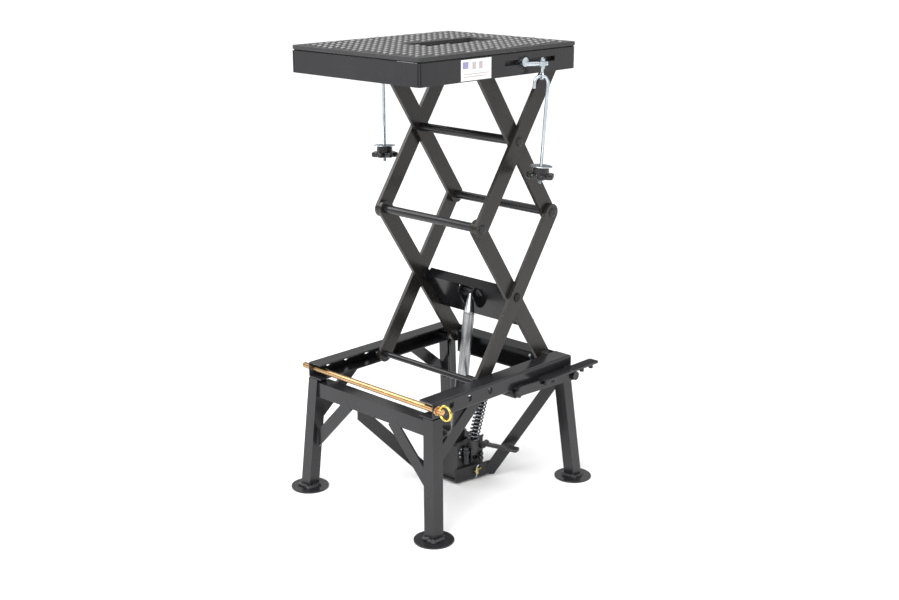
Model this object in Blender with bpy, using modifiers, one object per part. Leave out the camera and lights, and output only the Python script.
"""Foot-pumped hydraulic scissor lift stand.

Two stacked scissor stages lift a padded deck above a welded base on four splayed legs.
Metres, +Z up. X runs along the base rails, with the locking bar at the -X end and the
foot pedal at the +X end. Dimensions along X are measured from the middle of the base;
at the end everything moves a little so that the origin is under the stand's middle.
"""
import math

import bmesh
import bpy
from mathutils import Matrix, Vector

OBJECT_NAME = "scissor_lift_stand"
GAP = 0.0003                 # left between pieces that touch

# Scissor: four pairs of flat arms, all with the same pin-to-pin length.
ARM_LENGTH = 0.361
ARM_ANGLE = math.radians(56.33)
ARM_WIDTH = 0.034
ARM_THICKNESS = 0.008
INNER_ARM_Y = 0.1224
OUTER_ARM_Y = 0.1310
PIVOT_X = 0.1458             # fixed pivots at the rear of base and deck
BASE_PIVOT_Z = 0.2505
STAGE_WIDTH = ARM_LENGTH * math.cos(ARM_ANGLE)
STAGE_RISE = ARM_LENGTH * math.sin(ARM_ANGLE)
FRONT_X = PIVOT_X - STAGE_WIDTH
MIDDLE_X = PIVOT_X - STAGE_WIDTH / 2
LOWER_CENTRE_Z = BASE_PIVOT_Z + STAGE_RISE / 2
MID_Z = BASE_PIVOT_Z + STAGE_RISE
UPPER_CENTRE_Z = BASE_PIVOT_Z + 1.5 * STAGE_RISE
DECK_PIVOT_Z = BASE_PIVOT_Z + 2 * STAGE_RISE
PIN_RADIUS = 0.006
PIN_HOLE_RADIUS = 0.0063
TIE_TUBE_RADIUS = 0.0085
ROLLER_RADIUS = 0.011
ROLLER_Y = (0.1375, 0.1480)

# Base frame.
RAIL_FRONT_X = -0.2208
RAIL_REAR_X = 0.1705
RAIL_OUTER_Y = 0.1711
RAIL_TOP_Z = 0.265
RAIL_HEIGHT = 0.032
RAIL_WIDTH = 0.0351
SHEET = 0.003
LOCK_HOLES_X = (-0.212, -0.1725, -0.125, -0.069)
LOCK_BAR_RADIUS = 0.0058
LOCK_HOLE_RADIUS = 0.0063
LEG_WIDTH = 0.025
LEG_WALL = 0.002
LEG_TOP_Z = RAIL_TOP_Z - RAIL_HEIGHT - GAP
LEG_TOP_Y = 0.1585
FOOT_Y = 0.1744
FRONT_LEG_TOP_X = -0.2090
FRONT_FOOT_X = -0.2237
REAR_LEG_TOP_X = 0.1570
REAR_FOOT_X = 0.1818
FOOT_RADIUS = 0.0376
FOOT_THICKNESS = 0.003
PEDAL_TIP_X = 0.2250
TIE_TOP_Z = 0.226            # front cross member, an angle between the front legs
TIE_HEIGHT = 0.030
REAR_BOX_Z = (0.217, 0.262)  # rear cross channel

# Cradle and hydraulic jack.
CRADLE_X = (-0.0180, 0.0700)
CRADLE_Y = 0.035              # half width at the front; the tray widens towards the rear
CRADLE_REAR_Y = 0.0515
CRADLE_Z = (0.005, 0.033)
JACK_PIVOT = Vector((0.0165, 0.0, 0.040))
RAM_PIN_ALONG_ARM = 0.160
RAM_PIN_OFFSET = 0.005
CYLINDER_RADIUS = 0.0145
CYLINDER_LENGTH = 0.170
RAM_RADIUS = 0.0115
PLUNGER_FOOT = Vector((0.0335, -0.034, 0.084))
PLUNGER_HEAD = Vector((0.0535, -0.046, 0.190))
LEVER_PIVOT = Vector((0.006, -0.178, 0.2235))
LEVER_END_X = 0.1645
RELEASE_PIVOT = Vector((0.0570, -0.0440, 0.070))
RELEASE_TIP = Vector((0.0720, -0.0988, 0.070))

# Deck.
DECK_CENTRE_X = -0.0376
DECK_LENGTH = 0.413
DECK_WIDTH = 0.3292
DECK_TOP_Z = 0.880
PAD_THICKNESS = 0.009
DECK_PLATE_Z = (0.8690, 0.8707)
FRAME_Z = (0.8288, 0.8687)
DECK_OPENING_X = (-0.0885, 0.0875)
DECK_OPENING_Y = 0.030
GUIDE_WEB_Y = 0.1535
SLOT_X = (-0.030, 0.1085)
SLOT_Z = (0.8475, 0.8565)

# Tie-down hooks. The two anchors stand at different places along their slots.
HOOK_Z = 0.826
HOOK_BEND_RADIUS = 0.013
HOOK_WIRE_RADIUS = 0.003
HOOK_LENGTH = 0.196
HOOK_LEAN = math.radians(3.9)
EYE_RADIUS = 0.006
EYE_WIRE_RADIUS = 0.0022
ANCHORS = {"near": (Vector((0.017, -0.166, 0.848)), Vector((0.048, -0.184, HOOK_Z))),
           "far": (Vector((-0.012, 0.166, 0.848)), Vector((0.0045, 0.185, HOOK_Z)))}

COLOURS = {  # colour, roughness, metallic
    "black_powder_coat": ((0.035, 0.035, 0.037, 1), 0.45, 0.0),
    "rubber": ((0.055, 0.055, 0.057, 1), 0.7, 0.0),
    "chrome": ((0.62, 0.63, 0.65, 1), 0.15, 1.0),
    "zinc": ((0.60, 0.64, 0.68, 1), 0.3, 1.0),
    "yellow_zinc": ((0.72, 0.45, 0.16, 1), 0.3, 1.0),
    "black_plastic": ((0.02, 0.02, 0.02, 1), 0.5, 0.0),
    "cast_iron": ((0.03, 0.03, 0.032, 1), 0.6, 0.0),
}

for old_object in list(bpy.data.objects):
    bpy.data.objects.remove(old_object)

parts = bpy.data.collections.new(OBJECT_NAME)
cutters = bpy.data.collections.new("cutters")
bpy.context.scene.collection.children.link(parts)
bpy.context.scene.collection.children.link(cutters)


# ---------------------------------------------------------------- modelling helpers

def material(kind, name):
    """A material of the piece's own, in one of the object's few finishes."""
    colour, roughness, metallic = COLOURS[kind]
    made = bpy.data.materials.new(f"{kind}_{name}")
    made.use_nodes = True
    shader = made.node_tree.nodes["Principled BSDF"]
    shader.inputs["Base Color"].default_value = colour
    shader.inputs["Roughness"].default_value = roughness
    shader.inputs["Metallic"].default_value = metallic
    return made


def link(obj, collection):
    for old in list(obj.users_collection):
        old.objects.unlink(obj)
    collection.objects.link(obj)
    return obj


def bake_scale(obj):
    """Apply the object's scale to its mesh."""
    obj.data.transform(Matrix.Diagonal((*obj.scale, 1.0)))
    obj.scale = (1, 1, 1)


def box(name, low, high):
    """A box between two corners, with its origin at its centre."""
    low = Vector(low)
    high = Vector(high)
    bpy.ops.mesh.primitive_cube_add(size=1, location=(low + high) / 2)
    obj = bpy.context.object
    obj.name = name
    obj.scale = high - low
    bake_scale(obj)
    return link(obj, cutters)


def centred_box(name, size, location=(0, 0, 0)):
    half = Vector(size) / 2
    return box(name, Vector(location) - half, Vector(location) + half)


def cylinder(name, radius, start, end, sides=20):
    """A cylinder from one point to another."""
    start = Vector(start)
    end = Vector(end)
    bpy.ops.mesh.primitive_cylinder_add(vertices=sides, radius=radius, depth=(end - start).length)
    obj = bpy.context.object
    obj.name = name
    obj.matrix_world = aim(start, end, (start + end) / 2)
    smooth(obj)
    return link(obj, cutters)


def aim(start, end, location):
    """A placing matrix whose local Z points from start to end."""
    turn = (Vector(end) - Vector(start)).to_track_quat("Z", "Y")
    return Matrix.Translation(location) @ turn.to_matrix().to_4x4()


def turned(name, profile, sides=20, ring=False):
    """A turned shape about Z. The profile runs from top to bottom on its outer side."""
    mesh = bpy.data.meshes.new(name)
    shape = bmesh.new()
    points = [shape.verts.new((radius, 0, height)) for radius, height in profile]
    for first, second in zip(points, points[1:]):
        shape.edges.new((first, second))
    if ring:
        shape.edges.new((points[-1], points[0]))
    shape.to_mesh(mesh)
    shape.free()
    obj = bpy.data.objects.new(name, mesh)
    cutters.objects.link(obj)
    screw = obj.modifiers.new("turn", "SCREW")
    screw.steps = sides
    screw.render_steps = sides
    screw.use_merge_vertices = True
    screw.merge_threshold = 0.00001
    return to_mesh(obj)


def to_mesh(obj):
    """Turn a curve, or an object with modifiers, into a plain mesh object."""
    bpy.context.view_layer.update()
    evaluated = obj.evaluated_get(bpy.context.evaluated_depsgraph_get())
    mesh = bpy.data.meshes.new_from_object(evaluated)
    shape = bmesh.new()
    shape.from_mesh(mesh)
    bmesh.ops.remove_doubles(shape, verts=shape.verts, dist=0.00001)
    shape.to_mesh(mesh)
    shape.free()
    name = obj.name
    place = obj.matrix_world.copy()
    bpy.data.objects.remove(obj)
    made = bpy.data.objects.new(name, mesh)
    made.matrix_world = place
    cutters.objects.link(made)
    smooth(made)
    return made


def smooth(obj):
    obj.data.shade_smooth()
    obj.data.set_sharp_from_angle(angle=math.radians(35))


def wire(name, points, radius, closed=False, resolution=2):
    """A round wire along a list of points."""
    curve = bpy.data.curves.new(name, "CURVE")
    curve.dimensions = "3D"
    curve.bevel_depth = radius
    curve.bevel_resolution = resolution
    curve.use_fill_caps = True
    spline = curve.splines.new("POLY")
    spline.points.add(len(points) - 1)
    for point, place in zip(spline.points, points):
        point.co = (*place, 1)
    spline.use_cyclic_u = closed
    obj = bpy.data.objects.new(name, curve)
    cutters.objects.link(obj)
    return to_mesh(obj)


def combine(obj, other, operation):
    """Add a Boolean with a cutter or a joined shape."""
    change = obj.modifiers.new(other.name, "BOOLEAN")
    change.operation = operation
    change.object = other
    change.solver = "EXACT"
    other.hide_render = True
    other.display_type = "WIRE"


def cut(obj, *others):
    for other in others:
        combine(obj, other, "DIFFERENCE")


def join(obj, *others):
    for other in others:
        combine(obj, other, "UNION")


def round_edges(obj, radius, segments, chosen):
    """Round the edges of a box that chosen(edge direction, edge centre) picks."""
    shape = bmesh.new()
    shape.from_mesh(obj.data)
    edges = []
    for edge in shape.edges:
        start, end = (vertex.co for vertex in edge.verts)
        if chosen((end - start).normalized(), (start + end) / 2):
            edges.append(edge)
    bmesh.ops.bevel(shape, geom=edges, offset=radius, segments=segments, profile=0.5, affect="EDGES")
    shape.to_mesh(obj.data)
    shape.free()


def flat_bar(name, length, width, thickness, overhang):
    """A flat bar with round ends: X from -overhang to length + overhang, thickness in Y."""
    low = (-overhang, -thickness / 2, -width / 2)
    high = (length + overhang, thickness / 2, width / 2)
    obj = box(name, low, high)
    round_edges(obj, width / 2 - 0.0001, 6, lambda along, _: abs(along.y) > 0.9)
    centre = obj.location.copy()
    obj.data.transform(Matrix.Translation(centre))
    obj.location = (0, 0, 0)
    return obj


def node(obj, kind, body):
    """Make a shape one of the object's pieces, moving with its body's empty."""
    obj.data.materials.clear()
    obj.data.materials.append(material(kind, obj.name))
    link(obj, parts)
    bpy.context.view_layer.update()
    obj.parent = body
    obj.matrix_parent_inverse = body.matrix_world.inverted()
    return obj


def body(name, location):
    """An empty on a joint's axis, which a moving body's pieces are parented to."""
    empty = bpy.data.objects.new(f"{name}_axis", None)
    empty.empty_display_size = 0.03
    empty.location = location
    parts.objects.link(empty)
    bpy.context.view_layer.update()
    return empty


def sides():
    """The near side is -Y and the far side is +Y."""
    return (("near", -1), ("far", 1))


# ---------------------------------------------------------------- base frame

def leg_centre(top_x, foot_x, side, height):
    """The leg's middle at a height, between its foot and its top."""
    share = (height - FOOT_THICKNESS) / (LEG_TOP_Z - FOOT_THICKNESS)
    return Vector((foot_x + (top_x - foot_x) * share,
                   side * (FOOT_Y + (LEG_TOP_Y - FOOT_Y) * share), height))


def leg_prism(name, width, top_x, foot_x, side, low_z, high_z):
    """A square bar that leans outward, with level ends."""
    obj = centred_box(name, (width, width, high_z - low_z))
    bottom = leg_centre(top_x, foot_x, side, low_z)
    top = leg_centre(top_x, foot_x, side, high_z)
    for vertex in obj.data.vertices:
        end = top if vertex.co.z > 0 else bottom
        vertex.co = (vertex.co.x + end.x, vertex.co.y + end.y, end.z)
    return obj


def leg(name, top_x, foot_x, side, brace, body_empty):
    """A square tube on a round foot plate, with a flat brace up to the rail."""
    tube = leg_prism(name, LEG_WIDTH, top_x, foot_x, side, FOOT_THICKNESS / 2, LEG_TOP_Z)
    if brace:
        join(tube, rail_brace(name, top_x, foot_x, side, brace))
    foot = cylinder(f"{name}_foot", FOOT_RADIUS, (foot_x, side * FOOT_Y, 0),
                    (foot_x, side * FOOT_Y, FOOT_THICKNESS), 40)
    join(tube, foot)
    hollow = leg_prism(f"{name}_hollow", LEG_WIDTH - 2 * LEG_WALL, top_x, foot_x, side,
                       FOOT_THICKNESS + 0.001, LEG_TOP_Z + 0.01)
    cut(tube, hollow)
    return node(tube, "black_powder_coat", body_empty)


def rail_brace(name, top_x, foot_x, side, direction):
    """A flat strap from the leg up to the rail's underside, along X towards the middle."""
    low = leg_centre(top_x, foot_x, side, 0.147)
    high = Vector((low.x + direction * 0.128, 0, LEG_TOP_Z + 0.004))
    strap_y = side * 0.1645
    start = Vector((low.x + direction * 0.004, strap_y, low.z))
    end = Vector((high.x, strap_y, high.z + 0.012))
    length = (end - start).length
    strap = centred_box(f"{name}_brace", (length, 0.005, 0.025))
    tilt = math.atan2(end.z - start.z, end.x - start.x)
    strap.matrix_world = Matrix.Translation((start + end) / 2) @ Matrix.Rotation(-tilt, 4, "Y")
    above = box(f"{name}_brace_top_cut", (low.x - 0.3, strap_y - 0.05, LEG_TOP_Z),
                (low.x + 0.3, strap_y + 0.05, LEG_TOP_Z + 0.1))
    cut(strap, above)
    return strap


def rail(side_name, side, body_empty):
    """A channel, open towards the middle, with the locking bar's holes in its web."""
    name = f"{side_name}_rail"
    outer_y = side * RAIL_OUTER_Y
    inner_y = side * (RAIL_OUTER_Y - RAIL_WIDTH)
    low_z = RAIL_TOP_Z - RAIL_HEIGHT
    channel = box(name, (RAIL_FRONT_X, min(outer_y, inner_y), low_z),
                  (RAIL_REAR_X, max(outer_y, inner_y), RAIL_TOP_Z))
    round_edges(channel, 0.007, 4,
                lambda along, place: abs(along.y) > 0.9 and place.x > 0 and place.z > 0)
    round_edges(channel, 0.004, 3,
                lambda along, place: abs(along.x) > 0.9 and place.y * side > 0)
    web_y = side * (RAIL_OUTER_Y - SHEET)
    open_y = inner_y - side * 0.01
    cut(channel, box(f"{name}_inside", (RAIL_FRONT_X - 0.01, min(web_y, open_y), low_z + SHEET),
                     (RAIL_REAR_X + 0.01, max(web_y, open_y), RAIL_TOP_Z - SHEET)))
    for number, hole_x in enumerate(LOCK_HOLES_X):
        cut(channel, cylinder(f"{name}_hole_{number}", LOCK_HOLE_RADIUS,
                              (hole_x, outer_y - side * 0.01, BASE_PIVOT_Z),
                              (hole_x, outer_y + side * 0.01, BASE_PIVOT_Z)))
    return node(channel, "black_powder_coat", body_empty)


def front_cross_member(body_empty):
    """An angle between the front legs, with a flat brace down to each leg."""
    face_x = FRONT_LEG_TOP_X - LEG_WIDTH / 2 + 0.003
    half = 0.1530
    angle = box("front_cross_member", (face_x, -half, TIE_TOP_Z - TIE_HEIGHT),
                (face_x + TIE_HEIGHT, half, TIE_TOP_Z))
    cut(angle, box("front_cross_member_inside", (face_x + SHEET, -half - 0.01, TIE_TOP_Z - TIE_HEIGHT - 0.01),
                   (face_x + TIE_HEIGHT + 0.01, half + 0.01, TIE_TOP_Z - SHEET)))
    for side_name, side in sides():
        start = Vector((face_x + SHEET / 2, side * 0.060, TIE_TOP_Z - TIE_HEIGHT + 0.006))
        end = Vector((face_x + SHEET / 2, side * 0.165, TIE_TOP_Z - TIE_HEIGHT - 0.1025))
        brace = centred_box(f"front_brace_{side_name}", (SHEET + 0.0012, (end - start).length, 0.025))
        tilt = math.atan2(end.z - start.z, end.y - start.y)
        brace.matrix_world = Matrix.Translation((start + end) / 2) @ Matrix.Rotation(tilt, 4, "X")
        join(angle, brace)
    for side_name, side in sides():
        clear = leg_prism(f"front_cross_member_{side_name}_leg", LEG_WIDTH + 2 * GAP,
                          FRONT_LEG_TOP_X, FRONT_FOOT_X, side, 0.02, LEG_TOP_Z + 0.02)
        outside = box(f"front_cross_member_{side_name}_end", (-0.30, 0.1505, 0.02), (-0.10, 0.25, 0.30))
        if side < 0:
            outside.location.y = -outside.location.y
        cut(angle, clear, outside)
    return node(angle, "black_powder_coat", body_empty)


def rear_cross_channel(body_empty):
    """A channel across the rear, open to the front, with an ear for each base pivot bolt."""
    low_z, high_z = REAR_BOX_Z
    web_x = RAIL_REAR_X - 0.0008
    front_x = PIVOT_X - 0.0140
    ear_y = 0.104
    end_y = RAIL_OUTER_Y - RAIL_WIDTH - GAP
    channel = box("rear_cross_channel", (front_x, -end_y, low_z), (web_x, end_y, high_z))
    cut(channel, box("rear_channel_inside", (front_x - 0.01, -ear_y + 0.004, low_z + SHEET),
                     (web_x - SHEET, ear_y - 0.004, high_z - SHEET)))
    for side_name, side in sides():
        inner = side * ear_y
        outer = side * (end_y + 0.01)
        cut(channel, box(f"rear_channel_{side_name}_arm_space",
                         (front_x - 0.01, min(inner, outer), low_z - 0.01),
                         (web_x - SHEET, max(inner, outer), high_z + 0.01)))
        cut(channel, cylinder(f"rear_channel_{side_name}_bolt", PIN_HOLE_RADIUS,
                              (PIVOT_X, side * 0.090, BASE_PIVOT_Z), (PIVOT_X, side * 0.115, BASE_PIVOT_Z)))
    return node(channel, "black_powder_coat", body_empty)


def base_pivot_bolt(side_name, side, body_empty):
    """The bolt that the lower inner arm swings on, held between rail and rear channel."""
    profile = [(0, 0.1678), (0.009, 0.1678), (0.009, 0.1275), (PIN_RADIUS, 0.1275),
               (PIN_RADIUS, 0.1005), (PIN_RADIUS, 0.0905), (0, 0.0905)]
    bolt = turned(f"{side_name}_base_pivot_bolt", profile)
    bolt.matrix_world = aim((0, 0, 0), (0, side, 0), (PIVOT_X, 0, BASE_PIVOT_Z))
    nut = cylinder(f"{side_name}_base_pivot_nut", 0.0080, (PIVOT_X, side * 0.0925, BASE_PIVOT_Z),
                   (PIVOT_X, side * 0.0997, BASE_PIVOT_Z), 6)
    join(bolt, nut)
    return node(bolt, "zinc", body_empty)


def strap(name, start, end, width, thickness, across, cut_box, body_empty):
    """A flat strap between two points, its width along across, trimmed by boxes at its ends."""
    start = Vector(start)
    end = Vector(end)
    along = (end - start).normalized()
    across = Vector(across)
    across = (across - along * across.dot(along)).normalized()
    turn = Matrix((across, along.cross(across), along)).transposed().to_4x4()
    obj = centred_box(name, (width, thickness, (end - start).length))
    obj.matrix_world = Matrix.Translation((start + end) / 2) @ turn
    cut(obj, *cut_box)
    return node(obj, "black_powder_coat", body_empty)


def widening_box(name, half_front, half_rear, low_z, high_z, margin=0.0):
    """A box over the cradle's length whose sides spread from half_front to half_rear."""
    low_x, high_x = CRADLE_X
    obj = centred_box(name, (high_x - low_x, 2.0, high_z - low_z))
    obj.location = (0, 0, 0)
    spread = (half_rear - half_front) / (high_x - low_x)
    for vertex in obj.data.vertices:
        rear = vertex.co.x > 0
        half = half_rear + spread * margin if rear else half_front - spread * margin
        vertex.co = (high_x + margin if rear else low_x - margin, math.copysign(half, vertex.co.y),
                     high_z if vertex.co.z > 0 else low_z)
    return obj


def cradle(body_empty):
    """The tray that carries the jack near the ground, its two rear straps and its front one."""
    low_x = CRADLE_X[0]
    low_z, high_z = CRADLE_Z
    wall = 0.004
    tray = widening_box("jack_cradle", CRADLE_Y, CRADLE_REAR_Y, low_z, high_z)
    cut(tray, widening_box("jack_cradle_inside", CRADLE_Y - wall, CRADLE_REAR_Y - wall, low_z + wall,
                           high_z + 0.01, 0.01))
    node(tray, "black_powder_coat", body_empty)
    under_rail_z = RAIL_TOP_Z - RAIL_HEIGHT - GAP
    tie_back_x = FRONT_LEG_TOP_X - LEG_WIDTH / 2 + 0.003 + SHEET + 0.0012
    below = box("strap_bottom_cut", (-0.3, -0.3, -0.2), (0.3, 0.3, low_z))
    tray_space = widening_box("strap_tray_cut", CRADLE_Y + GAP, CRADLE_REAR_Y + GAP, -0.1,
                              high_z + GAP, GAP)
    beyond = box("strap_leg_cut", (REAR_LEG_TOP_X, -0.3, -0.1), (0.3, 0.3, 0.3))
    for side_name, side in sides():
        above = box(f"rear_strap_{side_name}_top", (0, -0.3, under_rail_z), (0.3, 0.3, 0.3))
        leg_space = leg_prism(f"rear_strap_{side_name}_leg", LEG_WIDTH + 2 * GAP, REAR_LEG_TOP_X,
                              REAR_FOOT_X, side, 0.1, LEG_TOP_Z + 0.02)
        strap(f"{side_name}_rear_strap", (0.1654, side * 0.1594, 0.2380), (0.0566, side * 0.0450, -0.002),
              0.0235, 0.004, (0, 0, 1), (above, beyond, leg_space, tray_space, below), body_empty)
    ahead = box("front_strap_top", (-0.4, -0.3, 0), (tie_back_x + GAP, 0.3, 0.3))
    behind = box("front_strap_end", (low_x + 0.0045, -0.3, -0.1), (0.2, 0.3, 0.1))
    strap("far_front_strap", (-0.2300, 0.0382, 0.2095), (-0.010, 0.0382, -0.0065), 0.025, 0.004,
          (0, 0, 1), (ahead, behind, below), body_empty)


def locking_bar(bar_body):
    """The bar through the front holes of both rails, with a ring to pull it by."""
    profile = [(0, 0.196), (0.0040, 0.196), (LOCK_BAR_RADIUS, 0.1935), (LOCK_BAR_RADIUS, -0.1716),
               (0.0090, -0.1716), (0.0090, -0.1746), (LOCK_BAR_RADIUS, -0.1746),
               (LOCK_BAR_RADIUS, -0.1870), (0, -0.1870)]
    bar = turned("locking_bar", profile)
    bar.matrix_world = aim((0, 0, 0), (0, 1, 0), (LOCK_HOLES_X[0], 0, BASE_PIVOT_Z))
    cut(bar, cylinder("locking_bar_ring_hole", 0.0037, (LOCK_HOLES_X[0], -0.1797, BASE_PIVOT_Z - 0.02),
                      (LOCK_HOLES_X[0], -0.1797, BASE_PIVOT_Z + 0.02), 16))
    node(bar, "yellow_zinc", bar_body)
    radius = 0.0135
    centre = Vector((LOCK_HOLES_X[0], -0.1789 - radius, BASE_PIVOT_Z))
    points = [centre + Vector((0, radius * math.cos(turn), radius * math.sin(turn)))
              for turn in (math.tau * step / 32 for step in range(32))]
    node(wire("pull_ring", points, 0.0024, closed=True), "yellow_zinc", bar_body)


# ---------------------------------------------------------------- scissor

def arm_direction(rising_to_rear):
    """The arm's direction from its lower pin to its upper pin."""
    sign = 1 if rising_to_rear else -1
    return Vector((sign * math.cos(ARM_ANGLE), 0, math.sin(ARM_ANGLE)))


def arm(name, lower_pin, rising_to_rear, y, origin_along, body_empty):
    """A flat arm with three pin holes, its origin at a pin that is its joint."""
    obj = flat_bar(name, ARM_LENGTH, ARM_WIDTH, ARM_THICKNESS, ARM_WIDTH / 2)
    obj.data.transform(Matrix.Translation((-origin_along, 0, 0)))
    along = arm_direction(rising_to_rear)
    place = Vector(lower_pin) + along * origin_along
    place.y = y
    tilt = math.atan2(along.z, along.x)
    obj.matrix_world = Matrix.Translation(place) @ Matrix.Rotation(-tilt, 4, "Y")
    for number, distance in enumerate((0, ARM_LENGTH / 2, ARM_LENGTH)):
        hole = Vector(lower_pin) + along * distance
        cut(obj, cylinder(f"{name}_hole_{number}", PIN_HOLE_RADIUS, (hole.x, y - 0.01, hole.z),
                          (hole.x, y + 0.01, hole.z), 20))
    return node(obj, "black_powder_coat", body_empty)


def tie_tube(name, x, z, body_empty):
    """A tube between the inner arms, whose stepped ends are the pins of both arms."""
    tube_end = INNER_ARM_Y - ARM_THICKNESS / 2 - GAP
    head_start = OUTER_ARM_Y + ARM_THICKNESS / 2 + GAP
    half = [(0, head_start + 0.0020), (0.0075, head_start + 0.0020), (0.0090, head_start + 0.0012),
            (0.0090, head_start), (PIN_RADIUS, head_start), (PIN_RADIUS, tube_end),
            (TIE_TUBE_RADIUS, tube_end)]
    profile = half + [(radius, -along) for radius, along in reversed(half)]
    tube = turned(name, profile)
    tube.matrix_world = aim((0, 0, 0), (0, 1, 0), (x, 0, z))
    return node(tube, "black_powder_coat", body_empty)


def slide_rod(name, x, z, body_empty):
    """A thin rod between two arms, which carries a roller at each end."""
    half = [(0, 0.1500), (0.0080, 0.1500), (0.0080, ROLLER_Y[1] + GAP), (PIN_RADIUS, ROLLER_Y[1] + GAP)]
    profile = half + [(radius, -along) for radius, along in reversed(half)]
    rod = turned(name, profile)
    rod.matrix_world = aim((0, 0, 0), (0, 1, 0), (x, 0, z))
    return node(rod, "black_powder_coat", body_empty)


def roller(name, side, x, z, body_empty):
    """A grooved roller that runs in a channel."""
    low, high = ROLLER_Y
    bore = PIN_HOLE_RADIUS
    profile = [(bore, high), (ROLLER_RADIUS - 0.001, high), (ROLLER_RADIUS, high - 0.001),
               (ROLLER_RADIUS, low + 0.001), (ROLLER_RADIUS - 0.001, low), (bore, low)]
    wheel = turned(name, profile, ring=True)
    wheel.matrix_world = aim((0, 0, 0), (0, side, 0), (x, 0, z))
    return node(wheel, "zinc", body_empty)


def ram_pin_place():
    along = arm_direction(False)
    across = Vector((along.z, 0, -along.x))
    return (Vector((PIVOT_X, 0, BASE_PIVOT_Z)) + along * RAM_PIN_ALONG_ARM
            + across * RAM_PIN_OFFSET)


def cross_channel(body_empty):
    """The channel between the lower inner arms, with two ears for the ram's pin.

    It is built lying along X, from the base pivot, and then turned onto the arms.
    Its stub axles are the centre pins of the lower stage.
    """
    web_back = 0.0045
    web_front = 0.0015
    low_u = 0.087
    high_u = 0.175
    flange = 0.0225
    half = INNER_ARM_Y - ARM_THICKNESS / 2 - GAP
    head = OUTER_ARM_Y + ARM_THICKNESS / 2 + GAP
    channel = box("lift_cross_channel", (low_u, -half, web_front), (high_u, half, web_front + flange))
    cut(channel, box("cross_channel_inside", (low_u + SHEET, -half - 0.01, web_back),
                     (high_u - SHEET, half + 0.01, web_front + flange + 0.01)))
    cut(channel, box("ram_space", (0.138, -0.0160, -0.02), (high_u - SHEET, 0.0160, 0.010)),
        box("pin_head_space", (0.148, -0.0280, -0.02), (high_u - SHEET, 0.0280, 0.010)))
    for side_name, side in sides():
        inner = side * 0.0160
        outer = side * 0.0200
        ear = box(f"ram_ear_{side_name}", (0.124, min(inner, outer), -0.0130),
                  (high_u - SHEET / 2, max(inner, outer), web_front + flange - 0.003))
        round_edges(ear, 0.012, 4, lambda along, place: abs(along.y) > 0.9 and place.z < 0)
        join(channel, ear)
        stub = turned(f"centre_stub_{side_name}", [
            (0, head + 0.0020), (0.0075, head + 0.0020), (0.0090, head + 0.0012), (0.0090, head),
            (PIN_RADIUS, head), (PIN_RADIUS, half), (0.0085, half), (0.0085, half - 0.012), (0, half - 0.012)])
        stub.matrix_world = aim((0, 0, 0), (0, side, 0), (ARM_LENGTH / 2, 0, 0))
        arm_gusset = box(f"centre_gusset_{side_name}",
                         (0.168, min(side * (half - 0.010), side * half), -0.0080),
                         (ARM_LENGTH / 2, max(side * (half - 0.010), side * half), 0.0080))
        join(channel, arm_gusset, stub)
    bore_centre = (RAM_PIN_ALONG_ARM, 0, RAM_PIN_OFFSET)
    cut(channel, cylinder("ram_pin_bore", PIN_HOLE_RADIUS, (bore_centre[0], -0.03, bore_centre[2]),
                          (bore_centre[0], 0.03, bore_centre[2])))
    along = arm_direction(False)
    tilt = math.atan2(along.z, along.x)
    turn = Matrix.Translation((PIVOT_X, 0, BASE_PIVOT_Z)) @ Matrix.Rotation(-tilt, 4, "Y")
    flip = Matrix.Diagonal((1, 1, -1, 1))
    return place_assembly(channel, turn, flip, body_empty)


def place_assembly(obj, turn, flip, body_empty):
    """Bake an object's Booleans, mirror it through flip and set it in its place."""
    solid = to_mesh(obj)
    solid.data.transform(solid.matrix_world)
    solid.data.transform(flip)
    if flip.determinant() < 0:
        solid.data.flip_normals()
    solid.matrix_world = turn
    return node(solid, "black_powder_coat", body_empty)


def ram_pin(body_empty):
    """The pin between the cross channel's ears that the ram pushes up on."""
    centre = ram_pin_place()
    profile = [(0, 0.0245), (0.0085, 0.0245), (0.0095, 0.0235), (0.0095, 0.0203), (PIN_RADIUS, 0.0203),
               (PIN_RADIUS, -0.0205), (0.0085, -0.0205), (0.0085, -0.0235), (0, -0.0235)]
    pin = turned("ram_pin", profile)
    pin.matrix_world = aim((0, 0, 0), (0, -1, 0), centre)
    return node(pin, "black_powder_coat", body_empty)


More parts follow.
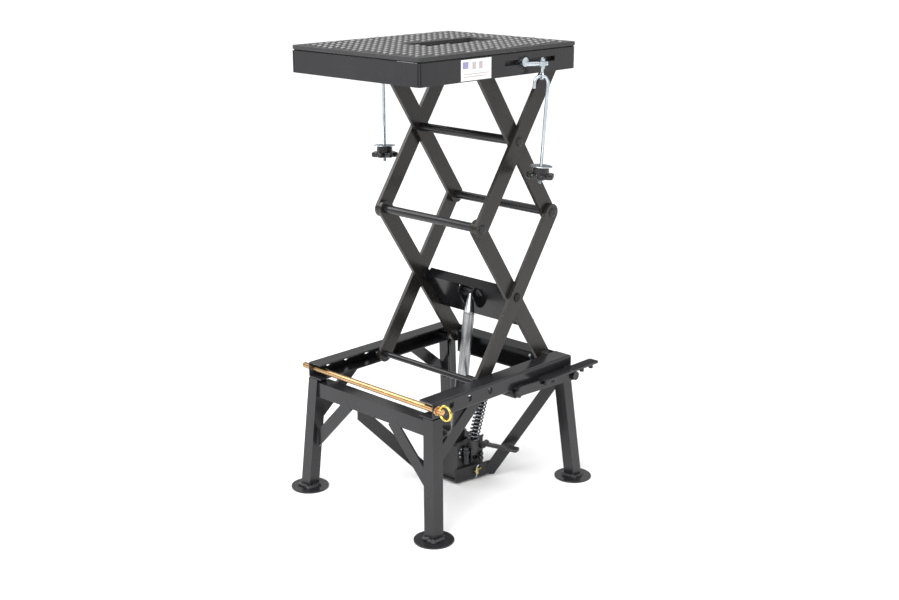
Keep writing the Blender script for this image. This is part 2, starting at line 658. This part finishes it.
def scissor(bodies):
    """Both stages, from the base pivots to the deck."""
    for side_name, side in sides():
        inner_y = side * INNER_ARM_Y
        outer_y = side * OUTER_ARM_Y
        arm(f"{side_name}_lower_inner_arm", (PIVOT_X, 0, BASE_PIVOT_Z), False, inner_y, 0,
            bodies["lower_inner"])
        arm(f"{side_name}_lower_outer_arm", (FRONT_X, 0, BASE_PIVOT_Z), True, outer_y, ARM_LENGTH / 2,
            bodies["lower_outer"])
        arm(f"{side_name}_upper_outer_arm", (FRONT_X, 0, MID_Z), True, outer_y, 0,
            bodies["upper_outer"])
        arm(f"{side_name}_upper_inner_arm", (PIVOT_X, 0, MID_Z), False, inner_y, ARM_LENGTH / 2,
            bodies["upper_inner"])
        roller(f"{side_name}_lower_roller", side, FRONT_X, BASE_PIVOT_Z, bodies["lower_rollers"])
        roller(f"{side_name}_upper_roller", side, FRONT_X, DECK_PIVOT_Z, bodies["upper_rollers"])
    tie_tube("mid_front_tie_tube", FRONT_X, MID_Z, bodies["lower_inner"])
    tie_tube("mid_rear_tie_tube", PIVOT_X, MID_Z, bodies["upper_inner"])
    tie_tube("upper_centre_tie_tube", MIDDLE_X, UPPER_CENTRE_Z, bodies["upper_inner"])
    slide_rod("lower_slide_rod", FRONT_X, BASE_PIVOT_Z, bodies["lower_outer"])
    slide_rod("upper_slide_rod", FRONT_X, DECK_PIVOT_Z, bodies["upper_inner"])
    cross_channel(bodies["lower_inner"])
    ram_pin(bodies["lower_inner"])


# ---------------------------------------------------------------- hydraulic jack

def jack(bodies):
    """Pump block, swinging cylinder with its ram, plunger, spring and both pedals."""
    base = bodies["base_frame"]
    block = box("pump_block", (-0.012, -0.0310, CRADLE_Z[0] + 0.004 + GAP), (0.0655, 0.0310, 0.080))
    cut(block, box("pump_block_slot", (-0.0050, -0.0155, 0.0200), (0.0400, 0.0155, 0.0900)))
    pump_axis = (PLUNGER_HEAD - PLUNGER_FOOT).normalized()
    boss_top = PLUNGER_FOOT
    join(block, cylinder("pump_boss", 0.0120, boss_top - pump_axis * 0.030, boss_top))
    cut(block, cylinder("pump_bore", 0.0063, boss_top - pump_axis * 0.024, boss_top + pump_axis * 0.01))
    pin_start = JACK_PIVOT + Vector((0, -0.04, 0))
    pin_end = JACK_PIVOT + Vector((0, 0.04, 0))
    cut(block, cylinder("jack_pivot_bore", 0.0053, pin_start, pin_end))
    node(block, "cast_iron", base)
    pivot_pin = cylinder("jack_pivot_pin", 0.0050, JACK_PIVOT + Vector((0, -0.0315, 0)),
                         JACK_PIVOT + Vector((0, 0.0315, 0)))
    node(pivot_pin, "zinc", base)

    pin_place = ram_pin_place()
    ram_length = (pin_place - JACK_PIVOT).length
    jack_place = aim(JACK_PIVOT, pin_place, JACK_PIVOT)
    tube = turned("jack_cylinder", [
        (0.0119, CYLINDER_LENGTH), (0.0140, CYLINDER_LENGTH), (CYLINDER_RADIUS, CYLINDER_LENGTH - 0.001),
        (CYLINDER_RADIUS, 0), (0.0122, -0.0085), (0.0080, -0.0125), (0, -0.0140), (0, 0.0240),
        (0.0119, 0.0240), (0.0119, CYLINDER_LENGTH - 0.001)], 28, ring=True)
    tube.matrix_world = jack_place
    cut(tube, cylinder("jack_cylinder_bore", 0.0054, pin_start, pin_end))
    node(tube, "black_powder_coat", bodies["cylinder"])

    tip = ram_length - PIN_RADIUS - 0.0006
    ram = turned("ram", [
        (0, tip), (0.0040, tip), (0.0048, tip - 0.0010), (RAM_RADIUS - 0.0006, tip - 0.0375),
        (RAM_RADIUS, tip - 0.0385), (RAM_RADIUS, 0.1090), (RAM_RADIUS - 0.001, 0.1080), (0, 0.1080)], 28)
    ram.matrix_world = jack_place
    node(ram, "chrome", bodies["ram"])

    plunger(bodies, pump_axis)
    lever(bodies)
    release_pedal(bodies)


def plunger(bodies, axis):
    """The pump's plunger, with a round head, inside its return spring."""
    length = (PLUNGER_HEAD - PLUNGER_FOOT).length
    rod = turned("pump_plunger", [
        (0, length), (0.0110, length), (0.0120, length - 0.0010), (0.0120, length - 0.0050),
        (PIN_RADIUS, length - 0.0050), (PIN_RADIUS, -0.0110), (0, -0.0110)])
    rod.matrix_world = aim(PLUNGER_FOOT, PLUNGER_HEAD, PLUNGER_FOOT)
    node(rod, "chrome", bodies["plunger"])

    turns = 13
    steps = 12
    wire_radius = 0.0015
    low = wire_radius + GAP
    high = length - 0.0050 - wire_radius - GAP
    count = turns * steps
    points = []
    for step in range(count + 1):
        angle = math.tau * step / steps
        points.append((0.0098 * math.cos(angle), 0.0098 * math.sin(angle), low + (high - low) * step / count))
    spring = wire("return_spring", points, wire_radius, resolution=1)
    spring.matrix_world = aim(PLUNGER_FOOT, PLUNGER_HEAD, PLUNGER_FOOT)
    node(spring, "zinc", bodies["base_frame"])


def lever(bodies):
    """The pump lever's shaft, arm and crank, its bush and the foot pedal at its end."""
    shaft = cylinder("pump_lever", 0.0055, (LEVER_PIVOT.x, -0.1800, LEVER_PIVOT.z),
                     (LEVER_PIVOT.x, -0.0400, LEVER_PIVOT.z))
    blade_start = Vector((LEVER_PIVOT.x, 0, LEVER_PIVOT.z + 0.0095))
    blade_end = Vector((LEVER_END_X, 0, 0.2250))
    join(shaft, lever_bar("pump_lever_blade", blade_start, blade_end, -0.1810, 0.0190, 0.0060))
    join(shaft, cylinder("pump_lever_barrel", 0.0090, (LEVER_END_X, -0.1750, 0.2250),
                         (LEVER_END_X, -0.1900, 0.2250)))
    crank_start = Vector((LEVER_PIVOT.x, 0, LEVER_PIVOT.z))
    crank_end = Vector((PLUNGER_HEAD.x, 0, PLUNGER_HEAD.z + 0.0101))
    join(shaft, lever_bar("pump_lever_crank", crank_start, crank_end, PLUNGER_HEAD.y, 0.0160, 0.0100))
    node(shaft, "black_powder_coat", bodies["pump_lever"])

    bush = cylinder("pump_lever_bush", 0.0088, (LEVER_PIVOT.x, -0.1700, LEVER_PIVOT.z),
                    (LEVER_PIVOT.x, -0.1400, LEVER_PIVOT.z))
    join(bush, box("pump_lever_hanger", (LEVER_PIVOT.x - 0.012, -0.1700, LEVER_PIVOT.z + 0.0050),
                   (LEVER_PIVOT.x + 0.012, -0.1400, LEG_TOP_Z)))
    cut(bush, cylinder("pump_lever_bush_bore", 0.0058, (LEVER_PIVOT.x, -0.18, LEVER_PIVOT.z),
                       (LEVER_PIVOT.x, -0.13, LEVER_PIVOT.z)))
    node(bush, "black_powder_coat", bodies["base_frame"])

    pedal = box("foot_pedal", (0.0620, -0.2000, 0.2400), (PEDAL_TIP_X, -0.1760, 0.2440))
    round_edges(pedal, 0.005, 3, lambda along, _: abs(along.z) > 0.9)
    join(pedal, box("foot_pedal_web", (0.1100, -0.1840, 0.2378), (0.1600, -0.1780, 0.2420)))
    for number, stop_x in enumerate((0.0720, 0.0960, 0.1830, 0.2120)):
        join(pedal, cylinder(f"foot_pedal_stop_{number}", 0.0045, (stop_x, -0.1890, 0.2300),
                             (stop_x, -0.1890, 0.2410), 14))
    node(pedal, "black_powder_coat", bodies["pump_lever"])


def lever_bar(name, start, end, y, width, thickness):
    """A flat bar with round ends between two points of the XZ plane."""
    run = end - start
    bar = flat_bar(name, run.length, width, thickness, width / 2)
    tilt = math.atan2(run.z, run.x)
    bar.matrix_world = Matrix.Translation((start.x, y, start.z)) @ Matrix.Rotation(-tilt, 4, "Y")
    return bar


def release_pedal(bodies):
    """The small ribbed lever that opens the jack's valve."""
    run = RELEASE_TIP - RELEASE_PIVOT
    level = Vector((run.x, run.y, 0)).normalized()
    hinge = Vector((-level.y, level.x, 0))
    hub = cylinder("release_pedal", 0.0065, RELEASE_PIVOT - hinge * 0.009, RELEASE_PIVOT + hinge * 0.009)
    blade = centred_box("release_blade", (run.length, 0.012, 0.005))
    tilt = math.atan2(run.z, Vector((run.x, run.y)).length)
    heading = math.atan2(run.y, run.x)
    turn = Matrix.Rotation(heading, 4, "Z") @ Matrix.Rotation(-tilt, 4, "Y")
    blade.matrix_world = Matrix.Translation(RELEASE_PIVOT + run / 2) @ turn
    tread = centred_box("release_tread", (0.036, 0.018, 0.006))
    round_edges(tread, 0.004, 3, lambda along, _: abs(along.z) > 0.9)
    tread.matrix_world = Matrix.Translation(RELEASE_TIP + Vector((0, 0, 0.001))) @ turn
    join(hub, blade, tread)
    node(hub, "cast_iron", bodies["release_pedal"])


# ---------------------------------------------------------------- deck

def deck(deck_body):
    """Frame ring, plate, patterned pad, roller guides and the rear pivot rod."""
    low_x = DECK_CENTRE_X - DECK_LENGTH / 2 + 0.001
    high_x = DECK_CENTRE_X + DECK_LENGTH / 2 - 0.001
    half = DECK_WIDTH / 2 - 0.001
    frame_end = high_x + 0.0035
    ring = box("deck_frame", (low_x, -half, FRAME_Z[0]), (frame_end, half, FRAME_Z[1]))
    round_edges(ring, 0.0100, 4, lambda along, place: abs(along.z) > 0.9 and place.x > 0)
    round_edges(ring, 0.0020, 2, lambda along, place: abs(along.z) > 0.9 and place.x < -0.2
                and abs(place.y) > half - 0.001)
    cut(ring, box("deck_frame_inside", (low_x + SHEET, -half + SHEET, FRAME_Z[0] - 0.01),
                  (frame_end - SHEET, half - SHEET, FRAME_Z[1] + 0.01)))
    for side_name, side in sides():
        inner = side * (half - 0.008)
        outer = side * (half + 0.01)
        cut(ring, box(f"{side_name}_hook_slot", (SLOT_X[0], min(inner, outer), SLOT_Z[0]),
                      (SLOT_X[1], max(inner, outer), SLOT_Z[1])))
    node(ring, "black_powder_coat", deck_body)

    inset = 0.005
    plate = box("deck_plate", (low_x + inset, -half + inset, DECK_PLATE_Z[0]),
                (high_x - inset, half - inset, DECK_PLATE_Z[1]))
    opening = box("deck_opening", (DECK_OPENING_X[0], -DECK_OPENING_Y, 0.85),
                  (DECK_OPENING_X[1], DECK_OPENING_Y, 0.90))
    cut(plate, opening)
    node(plate, "black_powder_coat", deck_body)

    pad = box("deck_pad", (low_x - 0.001, -half - 0.001, DECK_TOP_Z - PAD_THICKNESS),
              (high_x + 0.001, half + 0.001, DECK_TOP_Z))
    round_edges(pad, 0.0060, 3, lambda along, _: abs(along.z) > 0.9)
    cut(pad, opening)
    node(pad, "rubber", deck_body)

    for side_name, side in sides():
        guide(side_name, side, low_x, high_x, deck_body)
    half_rod = [(0, 0.1560), (0.0080, 0.1560), (0.0090, 0.1552), (0.0090, GUIDE_WEB_Y + GAP),
                (PIN_RADIUS, GUIDE_WEB_Y + GAP)]
    rod = turned("deck_pivot_rod", half_rod + [(radius, -along) for radius, along in reversed(half_rod)])
    rod.matrix_world = aim((0, 0, 0), (0, 1, 0), (PIVOT_X, 0, DECK_PIVOT_Z))
    node(rod, "black_powder_coat", deck_body)


def guide(side_name, side, low_x, high_x, deck_body):
    """A channel under the deck, open to the middle, that the upper rollers run in."""
    inner_y = 0.1361
    low_z = DECK_PIVOT_Z - ROLLER_RADIUS - 0.0005 - SHEET
    high_z = DECK_PIVOT_Z + ROLLER_RADIUS + 0.0005 + SHEET
    start = side * inner_y
    end = side * GUIDE_WEB_Y
    channel = box(f"{side_name}_deck_guide", (low_x + 0.0100, min(start, end), low_z),
                  (high_x - 0.0040, max(start, end), high_z))
    web = side * (GUIDE_WEB_Y - SHEET)
    outside = side * (inner_y - 0.01)
    cut(channel, box(f"{side_name}_deck_guide_inside", (low_x, min(web, outside), low_z + SHEET),
                     (high_x, max(web, outside), high_z - SHEET)))
    cut(channel, cylinder(f"{side_name}_deck_guide_bore", PIN_HOLE_RADIUS, (PIVOT_X, side * 0.14, DECK_PIVOT_Z),
                          (PIVOT_X, side * 0.17, DECK_PIVOT_Z)))
    node(channel, "black_powder_coat", deck_body)


# ---------------------------------------------------------------- hooks

def hook_set(side_name, side, bodies):
    """The anchor in the deck's slot, its eye stud, and the hook that hangs from it."""
    bolt_place, hook_place = ANCHORS[side_name]
    anchor_body = bodies[f"{side_name}_anchor"]
    run = Vector((hook_place.x - bolt_place.x, hook_place.y - bolt_place.y, 0))
    heading = run.normalized()
    face_y = side * (DECK_WIDTH / 2 - 0.001)
    bar_start = Vector((bolt_place.x, face_y + side * 0.0045, bolt_place.z))
    stud_x, stud_y = hook_place.x, hook_place.y
    bar_end = Vector((stud_x, stud_y, bolt_place.z)) + heading * 0.010
    bar = cylinder(f"{side_name}_hook_anchor", 0.0040, bar_start, bar_end, 16)
    centre_z = (SLOT_Z[0] + SLOT_Z[1]) / 2
    hub = cylinder(f"{side_name}_anchor_hub", 0.0085, (bolt_place.x, face_y + side * GAP, centre_z),
                   (bolt_place.x, face_y + side * 0.0080, centre_z), 20)
    shank = cylinder(f"{side_name}_anchor_shank", 0.0036, (bolt_place.x, face_y + side * 0.002, centre_z),
                     (bolt_place.x, face_y - side * 0.0050, centre_z), 16)
    washer = cylinder(f"{side_name}_anchor_washer", 0.0080, (bolt_place.x, face_y - side * 0.0034, centre_z),
                      (bolt_place.x, face_y - side * 0.0060, centre_z), 16)
    eye_boss = cylinder(f"{side_name}_anchor_boss", 0.0078, (stud_x, stud_y, bolt_place.z - 0.004),
                        (stud_x, stud_y, bolt_place.z + 0.004), 20)
    join(bar, hub, shank, washer, eye_boss)
    cut(bar, cylinder(f"{side_name}_anchor_bore", 0.0036, (stud_x, stud_y, 0.83), (stud_x, stud_y, 0.87), 16))
    node(bar, "zinc", anchor_body)

    eye_centre = hook_place + Vector((0, 0, 0.0004))
    ring_points = [eye_centre + Vector((-heading.y * EYE_RADIUS * math.cos(turn),
                                        heading.x * EYE_RADIUS * math.cos(turn),
                                        EYE_RADIUS * math.sin(turn)))
                   for turn in (math.tau * step / 24 for step in range(24))]
    stud = cylinder(f"{side_name}_eye_stud", 0.0032, (stud_x, stud_y, hook_place.z + EYE_RADIUS + 0.0004),
                    (stud_x, stud_y, bolt_place.z + 0.0110), 16)
    nut = cylinder(f"{side_name}_stud_nut", 0.0062, (stud_x, stud_y, bolt_place.z + 0.0040 + GAP),
                   (stud_x, stud_y, bolt_place.z + 0.0090), 6)
    lock_nut = cylinder(f"{side_name}_stud_lower_nut", 0.0062, (stud_x, stud_y, bolt_place.z - 0.0088),
                        (stud_x, stud_y, bolt_place.z - 0.0040 - GAP), 6)
    join(stud, nut, lock_nut, wire(f"{side_name}_eye", ring_points, EYE_WIRE_RADIUS, closed=True))
    node(stud, "zinc", anchor_body)

    hook_wire(side_name, hook_place, heading, bodies)


def hook_wire(side_name, hook_place, heading, bodies):
    """A J-shaped wire with a fixed clamp washer, and a lobed knob on its lower end."""
    bend = HOOK_BEND_RADIUS
    path = [Vector((-bend, 0, -bend - 0.0100)), Vector((-bend, 0, -bend - 0.0040))]
    steps = 14
    for step in range(steps + 1):
        angle = math.pi - math.pi * step / steps
        path.append(Vector((bend * math.cos(angle), 0, -bend + bend * math.sin(angle))))
    path.append(Vector((bend, 0, -bend - 0.06)))
    path.append(Vector((bend, 0, -HOOK_LENGTH)))
    facing = Matrix((heading, Vector((-heading.y, heading.x, 0)), Vector((0, 0, 1)))).transposed().to_4x4()
    place = Matrix.Translation(hook_place) @ facing @ Matrix.Rotation(HOOK_LEAN, 4, "Y")
    hook = wire(f"{side_name}_hook", path, HOOK_WIRE_RADIUS)
    hook.matrix_world = place
    washer = turned(f"{side_name}_hook_washer", [
        (0, -0.1630), (0.0205, -0.1630), (0.0215, -0.1636), (0.0215, -0.1650), (0, -0.1650)], 28)
    knob_place = place @ Matrix.Translation((bend, 0, 0))
    washer.matrix_world = knob_place
    join(hook, washer)
    node(hook, "zinc", bodies[f"{side_name}_hook"])

    bore = HOOK_WIRE_RADIUS + 0.0004
    knob = cylinder(f"{side_name}_hook_knob", 0.0175, (0, 0, -0.1870), (0, 0, -0.1770), 28)
    hub = cylinder(f"{side_name}_knob_hub", 0.0155, (0, 0, -0.1780), (0, 0, -0.1653), 28)
    join(knob, hub)
    lobes = 7
    for number in range(lobes):
        angle = math.tau * number / lobes
        x = 0.0195 * math.cos(angle)
        y = 0.0195 * math.sin(angle)
        join(knob, cylinder(f"{side_name}_knob_lobe_{number}", 0.0072, (x, y, -0.1865), (x, y, -0.1775), 14))
    cut(knob, cylinder(f"{side_name}_knob_bore", bore, (0, 0, -0.2000), (0, 0, -0.1600), 16))
    solid = to_mesh(knob)
    solid.data.transform(solid.matrix_world)
    solid.matrix_world = knob_place
    node(solid, "black_plastic", bodies[f"{side_name}_knob"])


# ---------------------------------------------------------------- assembly

def make_bodies():
    """One empty for each body, on the axis of the joint that moves it."""
    places = {
        "base_frame": (0, 0, 0),
        "lower_inner": (PIVOT_X, 0, BASE_PIVOT_Z),
        "lower_outer": (MIDDLE_X, 0, LOWER_CENTRE_Z),
        "upper_outer": (FRONT_X, 0, MID_Z),
        "upper_inner": (MIDDLE_X, 0, UPPER_CENTRE_Z),
        "deck": (PIVOT_X, 0, DECK_PIVOT_Z),
        "lower_rollers": (FRONT_X, 0, BASE_PIVOT_Z),
        "upper_rollers": (FRONT_X, 0, DECK_PIVOT_Z),
        "cylinder": JACK_PIVOT,
        "ram": JACK_PIVOT,
        "plunger": PLUNGER_FOOT,
        "pump_lever": LEVER_PIVOT,
        "release_pedal": RELEASE_PIVOT,
        "locking_bar": (LOCK_HOLES_X[0], 0, BASE_PIVOT_Z),
    }
    for side_name, _ in sides():
        bolt_place, hook_place = ANCHORS[side_name]
        places[f"{side_name}_anchor"] = bolt_place
        places[f"{side_name}_hook"] = hook_place
        places[f"{side_name}_knob"] = hook_place
    return {name: body(name, place) for name, place in places.items()}


def build():
    bodies = make_bodies()
    base = bodies["base_frame"]
    for side_name, side in sides():
        rail(side_name, side, base)
        leg(f"{side_name}_front_leg", FRONT_LEG_TOP_X, FRONT_FOOT_X, side, 1, base)
        rear_brace = -1 if side > 0 else 0
        leg(f"{side_name}_rear_leg", REAR_LEG_TOP_X, REAR_FOOT_X, side, rear_brace, base)
        base_pivot_bolt(side_name, side, base)
    front_cross_member(base)
    rear_cross_channel(base)
    cradle(base)
    locking_bar(bodies["locking_bar"])
    scissor(bodies)
    jack(bodies)
    deck(bodies["deck"])
    for side_name, side in sides():
        hook_set(side_name, side, bodies)


def centre_on_ground():
    """Move everything along X so the origin is under the middle of the stand's length."""
    front_edge = FRONT_FOOT_X - FOOT_RADIUS
    middle = (front_edge + PEDAL_TIP_X) / 2
    for obj in bpy.data.objects:
        if obj.parent is None:
            obj.location.x -= middle


build()
centre_on_ground()
